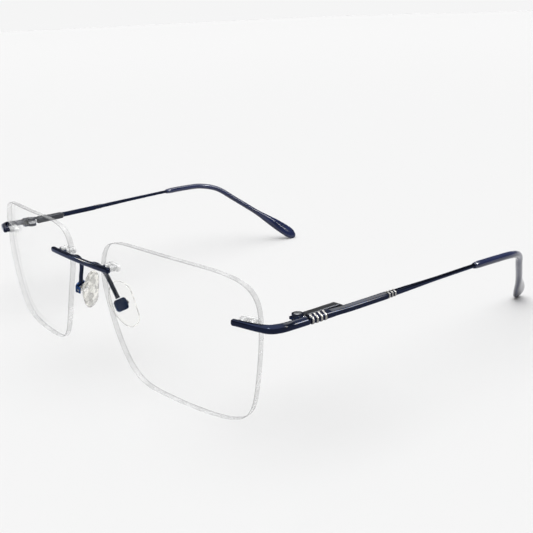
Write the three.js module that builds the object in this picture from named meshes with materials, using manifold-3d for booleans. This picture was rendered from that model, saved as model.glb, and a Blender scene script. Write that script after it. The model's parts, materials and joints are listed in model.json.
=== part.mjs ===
// Rimless eyeglasses: two drilled lenses, a bridge bar, two end lugs, two sprung
// temples with plastic ear tips, and two nose pads on bent arms.
// Millimetres, +Z up. X = 0 is the plane of symmetry and the glasses face -Y.
// They stand on the lower edges of the lenses and on the ends of the ear tips.
// Each left piece is the mirror image of the right one.

import * as THREE from 'three';
import { mergeVertices } from 'three/addons/utils/BufferGeometryUtils.js';
import Module from 'manifold-3d';

const wasm = await Module();
wasm.setup();

const RAD = Math.PI / 180;
const FIT_GAP = 0.05;
const TOUCH_GAP = 0.15;

// Lenses: outline control points are (outward, up) from the lens centre.
const LENS_CENTRE = [37.35, 8.1, 20.55];
const LENS_WRAP = 6.9 * RAD;
const LENS_TILT = 1.4 * RAD;
const LENS_FRONT_RADIUS = 130;
const LENS_THICKNESS = 1.6;
const LENS_BEVEL = 0.15;
const LENS_OUTLINE = [
  [-27.8, 3.2], [-29.3, 8.3], [-27.2, 17.9], [-13.0, 18.9], [9.4, 18.4], [26.9, 16.8],
  [29.4, 7.6], [26.8, -9.7], [23.2, -20.3], [9.4, -20.8], [-7.9, -20.2], [-20.0, -20.0],
];
const LENS_OUTLINE_STEPS = 5;

// Each lens is held by two pairs of pins, pressed into clear double sleeves.
const NASAL_MOUNT = [-25.2, 10.6];
const TEMPORAL_MOUNT = [24.9, 6.8];
const PIN_SPACING = 2.7;
const PIN_RADIUS = 0.45;
const PIN_ROOT = 1.3;
const SLEEVE_BORE = PIN_RADIUS + FIT_GAP;
const SLEEVE_RADIUS = 0.8;
const LENS_HOLE_RADIUS = SLEEVE_RADIUS + FIT_GAP;
const SLEEVE_PLATE_HEIGHT = 2.0;
const SLEEVE_PLATE_LENGTH = 5.6;
const SLEEVE_PLATE_DEPTH = 1.1;

// Metal bars: the bridge and the lugs' front ends are slimmer than the temples.
const BAR_HEIGHT = 2.1;
const BAR_DEPTH = 1.4;
const BAR_CORNER = 0.35;
const TOP_DROP = 0.75;
const SLIM_HEIGHT = 1.55;
const SLIM_DEPTH = 1.3;
const SLIM_CORNER = 0.5;
const BRIDGE_HALF_LENGTH = 15.7;
const BRIDGE_Z = 31.35;
const BRIDGE_END_Y = 6.3;
const BRIDGE_MID_Y = 5.8;
const LUG_SWELL_END = 0.6;

// Hinge: a vertical screw through three knuckles.
const HINGE = [67.45, 24.3, 27.0];
const KNUCKLE_RADIUS = 1.4;
const KNUCKLE_TOP = 1.4;
const EYE_HALF_HEIGHT = 0.6;
const LEAF_REACH = 1.85;
const LEAF_LENGTH = 2.6;
const SCREW_RADIUS = 0.5;
const SCREW_HEAD_RADIUS = 0.95;
const SCREW_HEAD_HEIGHT = 0.45;

// Temples, in a frame whose origin is the hinge axis and whose +Y runs back along the temple.
const TEMPLE_SPLAY = 2.9 * RAD;
const BAR_OFFSET = 2.25;
const BAR_FRONT = 1.75;
const FRONT_RINGS = { count: 4, start: 1.85, pitch: 1.3, width: 0.75, wall: 0.12 };
const REAR_RINGS = { count: 3, start: 26.7, pitch: 1.05, width: 0.6, wall: 0.13, wallStep: 0.015 };
const SLENDER_START = 6.9;
const SLENDER_END = 10.5;
const SLENDER_HEIGHT = 1.85;
const NECK_HEIGHT = 1.5;
const NECK_DEPTH = 1.2;
const TAPER_START = 30.5;
const TAPER_END = 46;
const WIRE_DIAMETER = 1.15;
const LEVEL_START = 4;
const LEVEL_END = 16;

// Spring housing on the inner side of the temple, with a slide, spring and plug inside.
const HOUSING = { x: 0.25, width: 2.2, height: 1.95, start: 2.1, length: 11.2, corner: 0.35 };
const HOUSING_BORE = 0.72;
const NECK_END = 2.0;
const HOUSING_BORE_LENGTH = 9.9;
const PLUG_LENGTH = 1.2;
const SHANK_RADIUS = 0.28;
const SHANK_END = 10.3;
const SPRING = { radius: 0.5, wire: 0.11, turns: 6, start: 3.75, end: 9.1 };

// Ear tip: route of its centre line, in the temple's frame.
const TIP_ROUTE = [
  [2.25, 60.0, -0.3], [2.2, 69.6, -0.5], [1.6, 77.6, -1.1], [-0.6, 84.2, -3.1],
  [-4.6, 90.6, -8.2], [-11.4, 101, -17.1], [-18.4, 111.7, -26.5],
];
const TIP_DIAMETER = 2.05;
const TIP_NOSE_LENGTH = 2.4;
const PADDLE_WIDTH = 5;
const PADDLE_THICKNESS = 2.2;
const PADDLE_START = 0.76;
const PADDLE_WIDEST = 0.955;
const PADDLE_TWIST = 37 * RAD;
const CORE_END = 0.9;

// Nose pads: the pad's frame has +X to the rear, +Y up the pad and +Z away from the nose.
const PAD_CENTRE = [8.9, 13.55, 18.7];
const PAD_SPLAY = 23.5 * RAD;
const PAD_FLARE = 22.5 * RAD;
const PAD_TILT = 7.5 * RAD;
const PAD_OUTLINE = [
  [2.9, -6.0], [2.9, -1.7], [3.7, 3.6], [1.7, 6.4], [-0.9, 7.4], [-3.6, 3.2],
  [-3.8, -0.3], [-2.2, -5.7], [-0.0, -7.4],
];
const PAD_THICKNESS = 2.1;
const PAD_MOUNT = [-1, 0.3];
const BOX = { width: 3.5, height: 3.4, depth: 1.7, wall: 0.42, start: 1.9, corner: 0.8 };
const BOSS = { width: 2.4, radius: 0.62, neck: 0.9, start: 0.5 };
const PAD_SCREW_RADIUS = 0.3;
const PAD_SCREW_Z = 2.55;
const PAD_SCREW_HEAD = 0.6;
const ARM_RADIUS = 0.6;
const ARM_ROUTE = [
  [4.9, 6.9, 30.9], [5.1, 8.1, 30.7], [5.8, 9.4, 29.6],
  [6.9, 10.3, 27.3], [9.2, 10.9, 23.3], [10.2, 11.2, 21.3],
];

const MATERIALS = {
  lens: { color: 0xf4f7f8, roughness: 0.03, metalness: 0, transparent: true, opacity: 0.3 },
  sleeve: { color: 0xeef0f0, roughness: 0.12, metalness: 0, transparent: true, opacity: 0.5 },
  navy: { color: 0x12162c, roughness: 0.2, metalness: 0.9 },
  satin: { color: 0x4a4c52, roughness: 0.45, metalness: 0.9 },
  silver: { color: 0xb4b4ac, roughness: 0.25, metalness: 1 },
  steel: { color: 0x9a9ca0, roughness: 0.3, metalness: 1 },
  tip: { color: 0x1a2452, roughness: 0.15, metalness: 0 },
  pad: { color: 0xf1f0ea, roughness: 0.2, metalness: 0, transparent: true, opacity: 0.5 },
};

// --- solids -------------------------------------------------------------------------

function manifoldOf(geometry) {
  const bare = geometry.index ? geometry.clone() : geometry;
  bare.deleteAttribute('normal');
  bare.deleteAttribute('uv');
  const merged = mergeVertices(bare, 1e-5);
  const mesh = new wasm.Mesh({
    numProp: 3,
    vertProperties: new Float32Array(merged.attributes.position.array),
    triVerts: new Uint32Array(merged.index.array),
  });
  return new wasm.Manifold(mesh);
}

function geometryOf(manifold) {
  const mesh = manifold.getMesh();
  const geometry = new THREE.BufferGeometry();
  geometry.setAttribute('position', new THREE.BufferAttribute(mesh.vertProperties, 3));
  geometry.setIndex(new THREE.BufferAttribute(mesh.triVerts, 1));
  return geometry;
}

function join(...geometries) {
  return geometryOf(geometries.map(manifoldOf).reduce((whole, next) => whole.add(next)));
}

function cut(body, ...tools) {
  return geometryOf(tools.map(manifoldOf).reduce((rest, tool) => rest.subtract(tool), manifoldOf(body)));
}

// Six times the volume that a list of triangles encloses, negative if they face inwards.
function signedVolume(points, triangles) {
  let sum = 0;
  const normal = new THREE.Vector3();
  for (let i = 0; i < triangles.length; i += 3) {
    normal.crossVectors(points[triangles[i + 1]], points[triangles[i + 2]]);
    sum += points[triangles[i]].dot(normal);
  }
  return sum;
}

function turnedOver(triangles) {
  const turned = [];
  for (let i = 0; i < triangles.length; i += 3) {
    turned.push(triangles[i], triangles[i + 2], triangles[i + 1]);
  }
  return turned;
}

function mirrored(geometry) {
  const copy = mergeVertices(geometry.clone().deleteAttribute('normal').deleteAttribute('uv'), 1e-5);
  copy.applyMatrix4(new THREE.Matrix4().makeScale(-1, 1, 1));
  copy.setIndex(turnedOver(Array.from(copy.index.array)));
  return copy;
}

// A closed skin over a list of rings of points, with a fan of triangles at each end.
function loft(rings) {
  const points = rings.flat();
  const count = rings[0].length;
  const triangles = [];
  for (let r = 0; r + 1 < rings.length; r += 1) {
    for (let i = 0; i < count; i += 1) {
      const a = r * count + i;
      const b = r * count + ((i + 1) % count);
      triangles.push(a, b, b + count, a, b + count, a + count);
    }
  }
  const last = (rings.length - 1) * count;
  const middle = (ring) => ring
    .reduce((sum, p) => sum.add(p), new THREE.Vector3())
    .divideScalar(count);
  points.push(middle(rings[0]), middle(rings.at(-1)));
  for (let i = 0; i < count; i += 1) {
    const next = (i + 1) % count;
    triangles.push(points.length - 2, next, i);
    triangles.push(points.length - 1, last + i, last + next);
  }
  const facesOut = signedVolume(points, triangles) > 0;
  const geometry = new THREE.BufferGeometry().setFromPoints(points);
  geometry.setIndex(facesOut ? triangles : turnedOver(triangles));
  return geometry;
}

// Points of a rectangle with rounded corners, counter-clockwise, three to a corner.
function roundedRectangle(width, height, corner) {
  const radius = Math.min(corner, width / 2, height / 2);
  const points = [];
  for (let quarter = 0; quarter < 4; quarter += 1) {
    const sideX = quarter === 0 || quarter === 3 ? 1 : -1;
    const sideY = quarter < 2 ? 1 : -1;
    for (let step = 0; step < 3; step += 1) {
      const angle = (quarter + step / 2) * 90 * RAD;
      points.push([
        sideX * (width / 2 - radius) + radius * Math.cos(angle),
        sideY * (height / 2 - radius) + radius * Math.sin(angle),
      ]);
    }
  }
  return points;
}

// A bar swept along a curve. sectionAt(share) gives the section's points as (side, up).
function sweep(curve, steps, sectionAt, upright = new THREE.Vector3(0, 0, 1)) {
  const rings = [];
  for (const share of steps) {
    const centre = curve.getPoint(share);
    const along = curve.getTangent(share);
    const side = new THREE.Vector3().crossVectors(along, upright).normalize();
    const up = new THREE.Vector3().crossVectors(side, along);
    rings.push(sectionAt(share).map(([x, y]) => centre.clone()
      .addScaledVector(side, x)
      .addScaledVector(up, y)));
  }
  return loft(rings);
}

function evenSteps(count, from = 0, to = 1) {
  return Array.from({ length: count + 1 }, (_, i) => from + ((to - from) * i) / count);
}

function smoothCurve(points) {
  return new THREE.CatmullRomCurve3(points.map((p) => new THREE.Vector3(...p)), false, 'centripetal');
}

// A closed uniform cubic B-spline through the neighbourhood of its control points.
function closedSpline(control, stepsPerPoint) {
  const points = [];
  const count = control.length;
  for (let i = 0; i < count; i += 1) {
    for (let step = 0; step < stepsPerPoint; step += 1) {
      const t = step / stepsPerPoint;
      const weights = [
        (1 - t) ** 3, 3 * t ** 3 - 6 * t ** 2 + 4, -3 * t ** 3 + 3 * t ** 2 + 3 * t + 1, t ** 3,
      ];
      const near = weights.map((_, k) => control[(i + k - 1 + count) % count]);
      points.push([0, 1].map((axis) => weights.reduce((sum, w, k) => sum + (w * near[k][axis]) / 6, 0)));
    }
  }
  return points;
}

function box(width, depth, height, x, y, z) {
  return new THREE.BoxGeometry(width, depth, height).translate(x, y, z);
}

// A cylinder along +Y from one y to another.
function rodY(radius, from, to, x = 0, z = 0, sides = 16) {
  return new THREE.CylinderGeometry(radius, radius, to - from, sides).translate(x, (from + to) / 2, z);
}

// A cylinder along +Z from one z to another.
function rodZ(radius, from, to, x = 0, y = 0, sides = 20) {
  return new THREE.CylinderGeometry(radius, radius, to - from, sides)
    .rotateX(Math.PI / 2)
    .translate(x, y, (from + to) / 2);
}

// A rounded block whose long axis is Y, from one y to another.
function blockY(width, height, corner, from, to, x = 0, z = 0) {
  const ring = (y) => roundedRectangle(width, height, corner)
    .map(([across, up]) => new THREE.Vector3(x + across, y, z + up));
  return loft([ring(from), ring(to)]);
}

// --- lenses and their mounts ----------------------------------------------------------

const lensMatrix = new THREE.Matrix4()
  .makeTranslation(...LENS_CENTRE)
  .multiply(new THREE.Matrix4().makeRotationZ(LENS_WRAP))
  .multiply(new THREE.Matrix4().makeRotationX(LENS_TILT));

function lensSag(u, v) {
  return (u * u + v * v) / (2 * LENS_FRONT_RADIUS);
}

// Frame on a lens's front face: +X outward along it, +Y through the lens, +Z up.
function mountMatrix([u, v]) {
  const through = new THREE.Vector3(-u, LENS_FRONT_RADIUS, -v).normalize();
  const outward = new THREE.Vector3(LENS_FRONT_RADIUS, u, 0).normalize();
  const up = new THREE.Vector3().crossVectors(outward, through);
  outward.crossVectors(through, up);
  return lensMatrix.clone()
    .multiply(new THREE.Matrix4().makeTranslation(u, lensSag(u, v), v))
    .multiply(new THREE.Matrix4().makeBasis(outward, through, up));
}

function pinPair(radius, from, to, mount) {
  return [-1, 1].map((side) => rodY(radius, from, to, (side * PIN_SPACING) / 2)
    .applyMatrix4(mountMatrix(mount)));
}

function lens() {
  const outline = closedSpline(LENS_OUTLINE, LENS_OUTLINE_STEPS);
  const ring = (share, inset, depth) => outline.map(([x, z]) => {
    const shrink = share * (1 - inset / Math.hypot(x, z));
    const [u, v] = [x * shrink, z * shrink];
    return new THREE.Vector3(u, lensSag(u, v) + depth, v);
  });
  const shares = [0.35, 0.7];
  const front = shares.map((share) => ring(share, 0, 0));
  const back = shares.map((share) => ring(share, 0, LENS_THICKNESS)).reverse();
  const edge = [
    ring(1, LENS_BEVEL, 0), ring(1, 0, LENS_BEVEL),
    ring(1, 0, LENS_THICKNESS - LENS_BEVEL), ring(1, LENS_BEVEL, LENS_THICKNESS),
  ];
  const blank = loft([...front, ...edge, ...back]);
  const holes = [NASAL_MOUNT, TEMPORAL_MOUNT]
    .flatMap((mount) => pinPair(LENS_HOLE_RADIUS, -1, LENS_THICKNESS + 1, mount));
  return cut(blank.applyMatrix4(lensMatrix), ...holes);
}

// Clear double sleeve: a plate behind the lens with two tubes that fill its holes.
function doubleSleeve(mount) {
  const back = LENS_THICKNESS + FIT_GAP * 2;
  const plate = blockY(SLEEVE_PLATE_LENGTH, SLEEVE_PLATE_HEIGHT, SLEEVE_PLATE_HEIGHT / 2,
    back, back + SLEEVE_PLATE_DEPTH).applyMatrix4(mountMatrix(mount));
  const tubes = pinPair(SLEEVE_RADIUS, FIT_GAP, back + SLEEVE_PLATE_DEPTH / 2, mount);
  const bores = pinPair(SLEEVE_BORE, -1, back + SLEEVE_PLATE_DEPTH + 1, mount);
  return cut(join(plate, ...tubes), ...bores);
}

function lensPins(mount) {
  return pinPair(PIN_RADIUS, -PIN_ROOT, LENS_THICKNESS + SLEEVE_PLATE_DEPTH, mount);
}

// --- bridge, lugs and hinge -----------------------------------------------------------

// How far a bar's section has grown at a distance from its rounded end.
function endScale(distance) {
  const reach = SLIM_HEIGHT / 2;
  return Math.sqrt(Math.max(1 - (1 - Math.min(distance / reach, 1)) ** 2, 0.06));
}

// Lowers the top of a section towards its outer side, so the bar's top face slopes outwards.
function slopeTop(section, depth, height, drop) {
  return section.map(([across, up]) => {
    const share = THREE.MathUtils.clamp((2 * up) / height, 0, 1);
    return [across, up - drop * share * (across / depth + 0.5)];
  });
}

// A section between the slim bar (0) and the full bar (1), shrunk by a scale.
function barSection(swell, scale) {
  const depth = THREE.MathUtils.lerp(SLIM_DEPTH, BAR_DEPTH, swell) * scale;
  const height = THREE.MathUtils.lerp(SLIM_HEIGHT, BAR_HEIGHT, swell) * scale;
  const corner = THREE.MathUtils.lerp(SLIM_CORNER, BAR_CORNER, swell) * scale;
  return slopeTop(roundedRectangle(depth, height, corner), depth, height, TOP_DROP * swell * scale);
}

function endSteps(length) {
  return [0, 0.1, 0.28, 0.52, 0.78].map((distance) => distance / length);
}

function bridge() {
  const control = [
    [-BRIDGE_HALF_LENGTH, BRIDGE_END_Y, BRIDGE_Z],
    [0, 2 * BRIDGE_MID_Y - BRIDGE_END_Y, BRIDGE_Z],
    [BRIDGE_HALF_LENGTH, BRIDGE_END_Y, BRIDGE_Z],
  ].map((p) => new THREE.Vector3(...p));
  const curve = new THREE.QuadraticBezierCurve3(...control);
  const length = curve.getLength();
  const ends = endSteps(length);
  const steps = [...ends, ...evenSteps(8, 0.08, 0.92), ...ends.map((s) => 1 - s).reverse()];
  const bar = sweep(curve, steps, (share) => barSection(0, endScale(Math.min(share, 1 - share) * length)));
  const pins = lensPins(NASAL_MOUNT);
  return join(bar, ...pins, ...pins.map(mirrored));
}

// The lug crosses the front of the lens, turns the corner and ends in two hinge knuckles.
function lug() {
  const curve = smoothCurve([
    [59.5, 11.3, 27.85], [62.3, 12.15, 27.75], [66.2, 13.5, 27.6], [68.7, 14.8, 27.55],
    [69.65, 17.2, 27.4], [69.68, 21, 27.15], [69.75, HINGE[1] + BAR_FRONT - 2 * TOUCH_GAP, HINGE[2]],
  ]);
  const length = curve.getLength();
  const steps = [...endSteps(length), ...evenSteps(13, 0.1, 1)];
  const bar = sweep(curve, steps, (share) => {
    const swell = THREE.MathUtils.smoothstep(share, 0.1, LUG_SWELL_END);
    return barSection(swell, endScale(share * length));
  });
  const [x, y, z] = HINGE;
  const knuckle = (from, to) => {
    const middle = z + (from + to) / 2;
    const leaf = box(LEAF_REACH, LEAF_LENGTH, to - from, x + LEAF_REACH / 2, y - LEAF_LENGTH / 2, middle);
    return join(rodZ(KNUCKLE_RADIUS, z + from, z + to, x, y), leaf);
  };
  const eyeGap = EYE_HALF_HEIGHT + FIT_GAP;
  const knuckles = [knuckle(eyeGap, KNUCKLE_TOP), knuckle(-KNUCKLE_TOP, -eyeGap)];
  const bore = rodZ(SCREW_RADIUS + FIT_GAP, z - 3, z + 3, x, y);
  const headSeat = rodZ(SCREW_HEAD_RADIUS + FIT_GAP, z + KNUCKLE_TOP - SCREW_HEAD_HEIGHT, z + 3, x, y);
  return cut(join(bar, ...knuckles, ...lensPins(TEMPORAL_MOUNT)), bore, headSeat);
}

function hingeScrew() {
  const [x, y, z] = HINGE;
  const headBase = KNUCKLE_TOP - SCREW_HEAD_HEIGHT + FIT_GAP;
  const shank = rodZ(SCREW_RADIUS, z - KNUCKLE_TOP, z + headBase + 0.1, x, y);
  const head = rodZ(SCREW_HEAD_RADIUS, z + headBase, z + KNUCKLE_TOP + 0.1, x, y);
  const slot = box(3, 0.25, 0.4, x, y, z + KNUCKLE_TOP + 0.1);
  return cut(join(shank, head), slot);
}

// --- temples, in the temple's own frame -------------------------------------------------

const templeMatrix = new THREE.Matrix4()
  .makeTranslation(...HINGE)
  .multiply(new THREE.Matrix4().makeRotationZ(-TEMPLE_SPLAY));

const tipCurve = smoothCurve(TIP_ROUTE);

// Slide: the hinge's middle knuckle on a shank that the spring pulls into the housing.
function slide() {
  const eye = rodZ(KNUCKLE_RADIUS - TOUCH_GAP, -EYE_HALF_HEIGHT, EYE_HALF_HEIGHT);
  const neck = blockY(1.3, 2 * EYE_HALF_HEIGHT, 0.2, 0.4, NECK_END, HOUSING.x);
  const shank = rodY(SHANK_RADIUS, NECK_END - 0.2, SHANK_END, HOUSING.x, 0, 12);
  const head = rodY(HOUSING_BORE - 0.12, SPRING.end + 0.2, SHANK_END, HOUSING.x, 0, 12);
  return cut(join(eye, neck, shank, head), rodZ(SCREW_RADIUS + FIT_GAP, -2, 2));
}

function slidePlug() {
  const start = HOUSING.start + FIT_GAP;
  const plug = rodY(HOUSING_BORE - FIT_GAP, start, start + PLUG_LENGTH, HOUSING.x);
  return cut(plug, rodY(SHANK_RADIUS + FIT_GAP, 0, 9, HOUSING.x, 0, 12));
}

function slideSpring() {
  class Helix extends THREE.Curve {
    getPoint(share, target = new THREE.Vector3()) {
      const angle = share * SPRING.turns * 2 * Math.PI;
      const y = SPRING.start + (SPRING.end - SPRING.start) * share;
      return target.set(
        HOUSING.x + SPRING.radius * Math.cos(angle), y, SPRING.radius * Math.sin(angle));
    }
  }
  const wire = new THREE.Shape().absarc(0, 0, SPRING.wire, 0, 2 * Math.PI);
  return new THREE.ExtrudeGeometry(wire, {
    steps: SPRING.turns * 8, curveSegments: 3, extrudePath: new Helix(),
  });
}

function springHousing() {
  const { x, width, height, start, length, corner } = HOUSING;
  const ring = (y, shrink) => roundedRectangle(width - shrink, height - shrink, corner)
    .map(([across, up]) => new THREE.Vector3(x + across + shrink / 2, y, up));
  const end = start + length;
  const shell = loft([ring(start, 0), ring(end - 1.6, 0), ring(end, 1.5)]);
  const bore = rodY(HOUSING_BORE, start - 1, start + HOUSING_BORE_LENGTH, x);
  return cut(shell, bore);
}

// Depth, height and corner of the temple bar at a distance along it.
function templeSection(y) {
  if (y < REAR_RINGS.start) {
    const share = THREE.MathUtils.smoothstep(y, SLENDER_START, SLENDER_END);
    return [BAR_DEPTH, THREE.MathUtils.lerp(BAR_HEIGHT, SLENDER_HEIGHT, share), BAR_CORNER];
  }
  const share = THREE.MathUtils.clamp((y - TAPER_START) / (TAPER_END - TAPER_START), 0, 1);
  return [
    THREE.MathUtils.lerp(NECK_DEPTH, WIRE_DIAMETER, share),
    THREE.MathUtils.lerp(NECK_HEIGHT, WIRE_DIAMETER, share),
    THREE.MathUtils.lerp(BAR_CORNER, WIRE_DIAMETER / 2, share),
  ];
}

// Height of the bar's middle over the hinge's, easing from none to that of the ear tip's start.
function templeLevel(y) {
  return TIP_ROUTE[0][2] * THREE.MathUtils.smoothstep(y, LEVEL_START, LEVEL_END);
}

// Outline of the temple bar at a distance along it, grown all round.
function templeOutline(y, grow) {
  const [depth, height, corner] = templeSection(y);
  const drop = (TOP_DROP * (height - WIRE_DIAMETER)) / (BAR_HEIGHT - WIRE_DIAMETER);
  const grown = roundedRectangle(depth + 2 * grow, height + 2 * grow, corner + grow);
  return slopeTop(grown, depth, height, drop)
    .map(([across, up]) => [BAR_OFFSET + across, templeLevel(y) + up]);
}

function tipCoreSweep(diameter, end) {
  const route = smoothCurve([[BAR_OFFSET, 49, TIP_ROUTE[0][2]], ...TIP_ROUTE]);
  const section = () => roundedRectangle(diameter, diameter, diameter / 2);
  return sweep(route, evenSteps(26, 0, end), section);
}

function temple() {
  const step = REAR_RINGS.start;
  const stations = [
    BAR_FRONT, 5, SLENDER_START, 8.5, SLENDER_END, 12, 15, 20, step - 0.01, step + 0.01,
    TAPER_START, 34, 38, 42, TAPER_END, 50,
  ];
  const bar = loft(stations.map((y) => templeOutline(y, 0)
    .map(([across, up]) => new THREE.Vector3(across, y, up))));
  return join(bar, tipCoreSweep(WIRE_DIAMETER, CORE_END));
}

// Silver band over the outside of the temple bar, open on the bar's inner face.
function bandRing(y, width, wall) {
  const block = (grow, from, to) => loft([from, to].map((end) => templeOutline(y, grow)
    .map(([across, up]) => new THREE.Vector3(across, end, up))));
  const blank = cut(block(FIT_GAP + wall, y, y + width), block(FIT_GAP, y - 1, y + width + 1));
  const innerFace = BAR_OFFSET - templeSection(y)[0] / 2;
  const opening = box(2, 4, 2 * BAR_HEIGHT, innerFace - 1 + FIT_GAP, y, 0);
  return cut(blank, opening);
}

function frontRing(index) {
  return bandRing(FRONT_RINGS.start + index * FRONT_RINGS.pitch, FRONT_RINGS.width, FRONT_RINGS.wall);
}

// The rear rings sit on the neck behind the bar, each smaller than the one before.
function rearRing(index) {
  const y = REAR_RINGS.start + TOUCH_GAP + index * REAR_RINGS.pitch;
  return bandRing(y, REAR_RINGS.width, REAR_RINGS.wall - index * REAR_RINGS.wallStep);
}

// Section of the ear tip: round, then flattened and twisted into a paddle near its end.
function tipSection(share) {
  const length = tipCurve.getLength();
  const nose = Math.min((share * length) / TIP_NOSE_LENGTH, 1);
  const start = THREE.MathUtils.lerp(WIRE_DIAMETER + 0.5, TIP_DIAMETER, nose);
  const flat = THREE.MathUtils.smoothstep(share, PADDLE_START, PADDLE_WIDEST);
  const toEnd = THREE.MathUtils.clamp((1 - share) / (1 - PADDLE_WIDEST), 0, 1);
  const close = Math.sqrt(Math.max(1 - (1 - toEnd) ** 2, 0.03));
  const width = THREE.MathUtils.lerp(start, PADDLE_THICKNESS, flat) * close;
  const height = THREE.MathUtils.lerp(start, PADDLE_WIDTH, flat) * close;
  const twist = PADDLE_TWIST * flat;
  const points = [];
  for (let i = 0; i < 12; i += 1) {
    const angle = i * 30 * RAD;
    const across = (width / 2) * Math.cos(angle);
    const up = (height / 2) * Math.sin(angle);
    points.push([
      across * Math.cos(twist) + up * Math.sin(twist),
      up * Math.cos(twist) - across * Math.sin(twist),
    ]);
  }
  return points;
}

function earTip() {
  const steps = [...evenSteps(2, 0, 0.035), ...evenSteps(18, 0.08, 0.93), 0.955, 0.972, 0.985, 0.995, 1];
  const body = sweep(tipCurve, steps, tipSection);
  return cut(body, tipCoreSweep(WIRE_DIAMETER + 2 * FIT_GAP, CORE_END + 0.004));
}

// --- nose pads ---------------------------------------------------------------------------

function padMatrix() {
  const up = new THREE.Vector3(-Math.sin(PAD_FLARE), -Math.sin(PAD_TILT), Math.cos(PAD_FLARE))
    .normalize();
  const rear = new THREE.Vector3(Math.sin(PAD_SPLAY), Math.cos(PAD_SPLAY), 0);
  const away = new THREE.Vector3().crossVectors(rear, up).normalize();
  rear.crossVectors(up, away);
  return new THREE.Matrix4()
    .makeTranslation(...PAD_CENTRE)
    .multiply(new THREE.Matrix4().makeBasis(rear, up, away));
}

function nosePad() {
  const outline = closedSpline(PAD_OUTLINE, 3);
  const half = PAD_THICKNESS / 2;
  const ring = ([share, z]) => outline.map(([x, y]) => new THREE.Vector3(x * share, y * share, z));
  const layers = [[0.4, -half], [0.8, -0.75 * half], [1, 0], [0.85, 0.7 * half], [0.45, half]];
  const pad = loft(layers.map(ring));
  const [x, y] = PAD_MOUNT;
  const neckLength = PAD_SCREW_Z - BOSS.start;
  const neck = box(BOSS.width, BOSS.neck, neckLength, x, y, BOSS.start + neckLength / 2);
  const boss = padCrossRod(BOSS.radius, -BOSS.width / 2, BOSS.width / 2);
  return cut(join(pad, neck, boss), padScrewBore());
}

// A rod across the back of the pad, along its screw's axis.
function padCrossRod(radius, from, to) {
  const [x, y] = PAD_MOUNT;
  return new THREE.CylinderGeometry(radius, radius, to - from, 14)
    .rotateZ(Math.PI / 2)
    .translate(x + (from + to) / 2, y, PAD_SCREW_Z);
}

function padScrewBore() {
  return padCrossRod(PAD_SCREW_RADIUS + FIT_GAP, -BOX.width, BOX.width);
}

// U-shaped box, open towards the pad and at its top and bottom, with a round-cornered back.
function padBox() {
  const [x, y] = PAD_MOUNT;
  const { width, height, depth, wall, start, corner } = BOX;
  const middle = start + depth / 2;
  const outline = roundedRectangle(width, height, corner);
  const shell = loft([start, start + depth].map((z) => outline
    .map(([across, up]) => new THREE.Vector3(x + across, y + up, z))));
  const inner = box(width - 2 * wall, height + 1, depth, x, y, middle - wall);
  return cut(shell, inner, padScrewBore());
}

function padScrew() {
  const reach = BOX.width / 2 + FIT_GAP;
  const head = padCrossRod(PAD_SCREW_HEAD, reach, reach + 0.4);
  return join(padCrossRod(PAD_SCREW_RADIUS, -reach, reach + 0.2), head);
}

function padArm() {
  const section = () => roundedRectangle(2 * ARM_RADIUS, 2 * ARM_RADIUS, ARM_RADIUS);
  return sweep(smoothCurve(ARM_ROUTE), evenSteps(18), section, new THREE.Vector3(1, 0, 0));
}

// --- assembly ------------------------------------------------------------------------------

const glasses = new THREE.Group();

function add(name, geometry, finish) {
  const mesh = new THREE.Mesh(geometry, new THREE.MeshStandardMaterial(MATERIALS[finish]));
  mesh.name = name;
  glasses.add(mesh);
}

function addPair(name, geometry, finish) {
  add(`${name}_right`, geometry, finish);
  add(`${name}_left`, mirrored(geometry), finish);
}

add('bridge_bar', bridge(), 'navy');
addPair('lens', lens(), 'lens');
addPair('nasal_sleeve', doubleSleeve(NASAL_MOUNT), 'sleeve');
addPair('temporal_sleeve', doubleSleeve(TEMPORAL_MOUNT), 'sleeve');
addPair('end_lug', lug(), 'navy');
addPair('hinge_screw', hingeScrew(), 'steel');
addPair('pad_arm', padArm(), 'navy');

const inPadFrame = {
  nose_pad: [nosePad(), 'pad'],
  pad_box: [padBox(), 'navy'],
  pad_screw: [padScrew(), 'steel'],
};
for (const [name, [geometry, finish]] of Object.entries(inPadFrame)) {
  addPair(name, geometry.applyMatrix4(padMatrix()), finish);
}

const inTempleFrame = {
  hinge_slide: [slide(), 'steel'],
  slide_plug: [slidePlug(), 'steel'],
  slide_spring: [slideSpring(), 'steel'],
  spring_housing: [springHousing(), 'satin'],
  temple: [temple(), 'navy'],
  ear_tip: [earTip(), 'tip'],
};
for (let i = 0; i < FRONT_RINGS.count; i += 1) {
  inTempleFrame[`front_ring_${i + 1}`] = [frontRing(i), 'silver'];
}
for (let i = 0; i < REAR_RINGS.count; i += 1) {
  inTempleFrame[`rear_ring_${i + 1}`] = [rearRing(i), 'silver'];
}
for (const [name, [geometry, finish]] of Object.entries(inTempleFrame)) {
  addPair(name, geometry.applyMatrix4(templeMatrix), finish);
}

// The origin is the middle of the footprint, on the surface that the glasses stand on.
const bounds = new THREE.Box3().setFromObject(glasses);
glasses.position.set(0, -(bounds.min.y + bounds.max.y) / 2, -bounds.min.z);

export default glasses;
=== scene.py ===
"""Rimless eyeglasses: fine surfaces, materials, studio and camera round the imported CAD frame.

Lengths in the constants are millimetres in the design's own frame: X = 0 is the plane of symmetry,
the glasses face -Y and Z is up. point() turns them into metres in the row's frame. Every piece is
built for the side at +X, and mirror_image() makes the one at -X.
"""
import json
import math

import bmesh
import bpy
from mathutils import Matrix, Vector

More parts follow.
